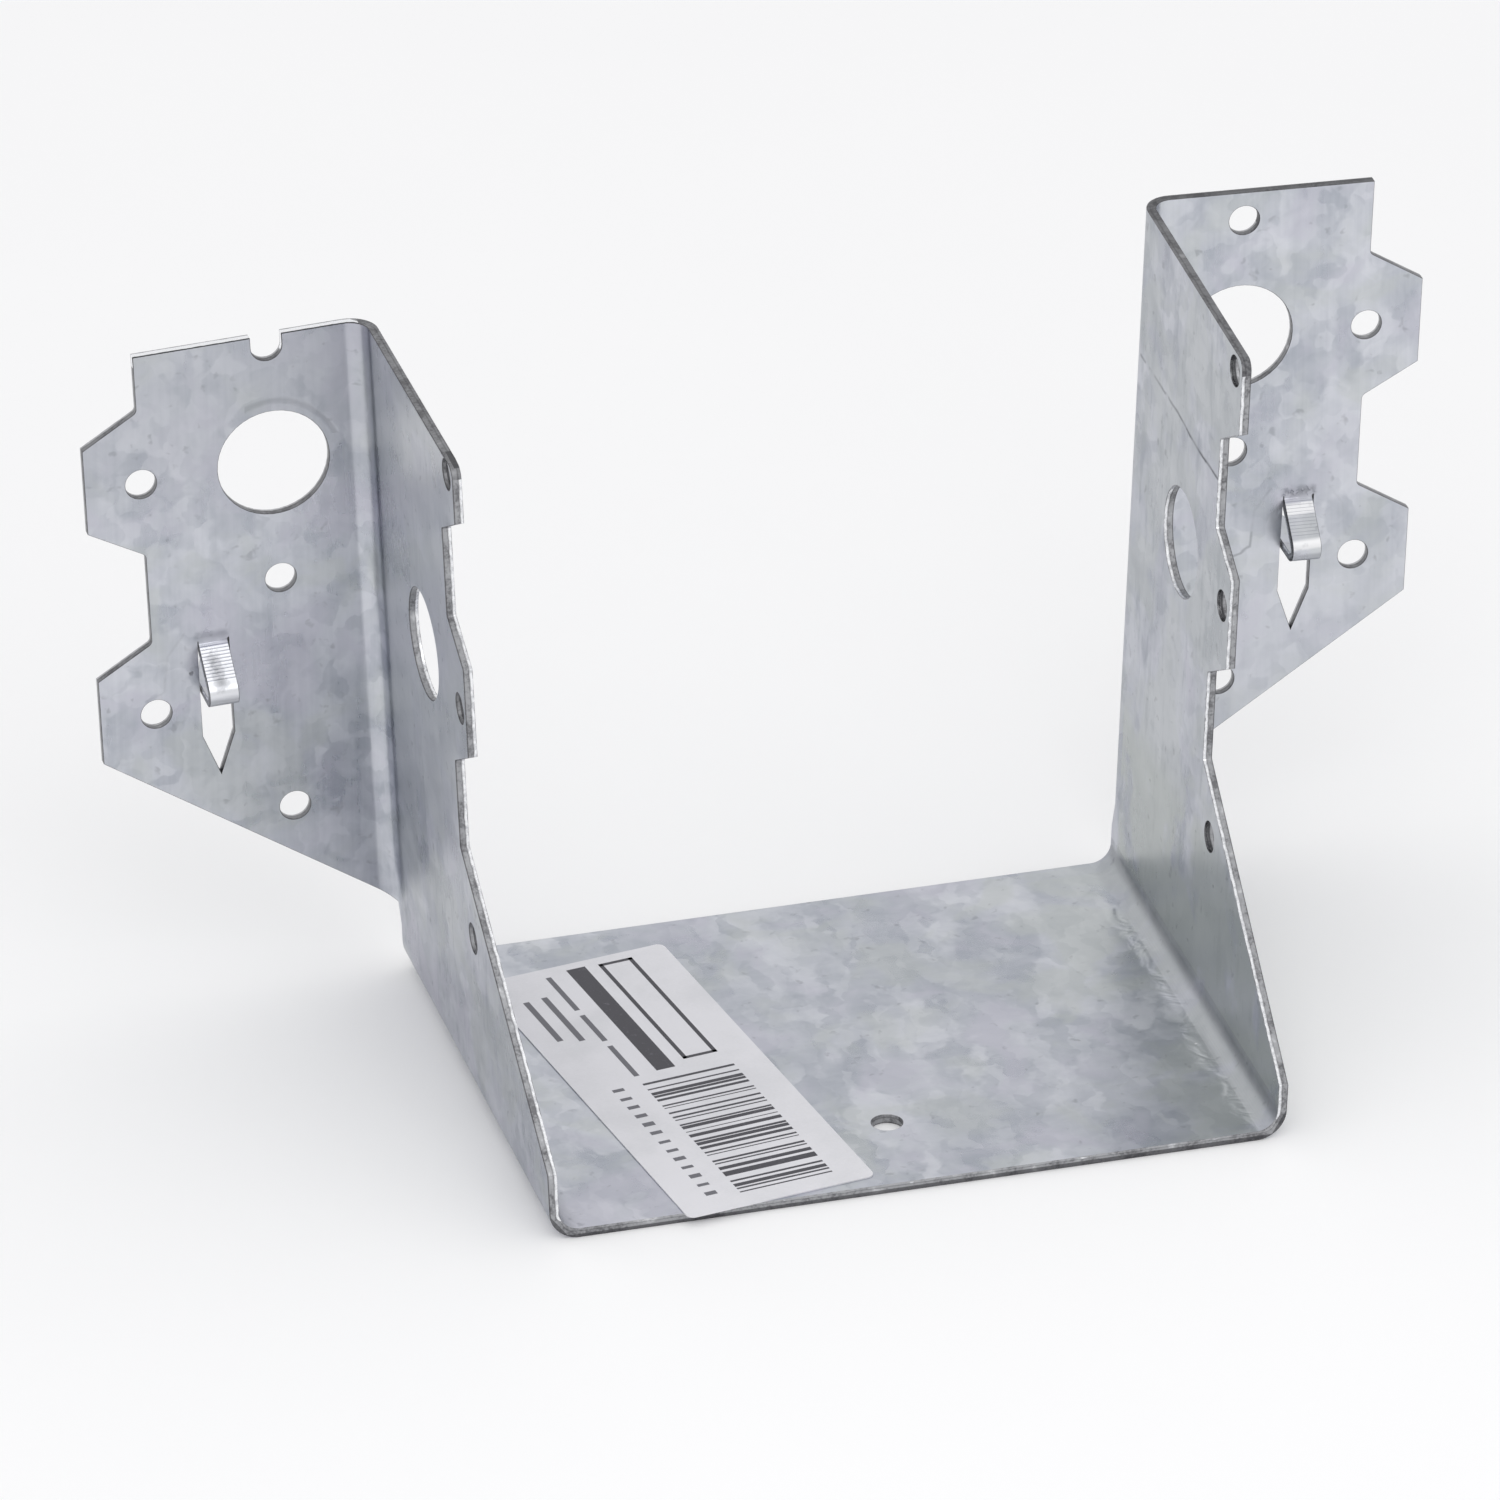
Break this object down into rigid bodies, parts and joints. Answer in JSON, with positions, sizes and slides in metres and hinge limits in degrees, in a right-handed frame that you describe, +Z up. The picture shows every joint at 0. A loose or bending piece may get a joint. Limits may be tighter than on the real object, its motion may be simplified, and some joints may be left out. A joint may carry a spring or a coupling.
{
  "type": "joist hanger",
  "caption": "Folded sheet steel hanger that carries a joist end in its U and nails to a header by two side flanges.",
  "frame": {"origin": "centre of the seat's flat underside", "axes": "+Z up, +Y back towards the header, +X to the right along the width as seen from the joist"},
  "size_m": [0.1702, 0.0798, 0.0921],
  "materials": {
    "sheet": "hot-dip galvanised steel sheet, softly spangled, semi-gloss, with sheared edges left as cut",
    "label": null
  },
  "bodies": {
    "root": {"hanger": "sheet", "label": "label"}
  },
  "joints": []
}
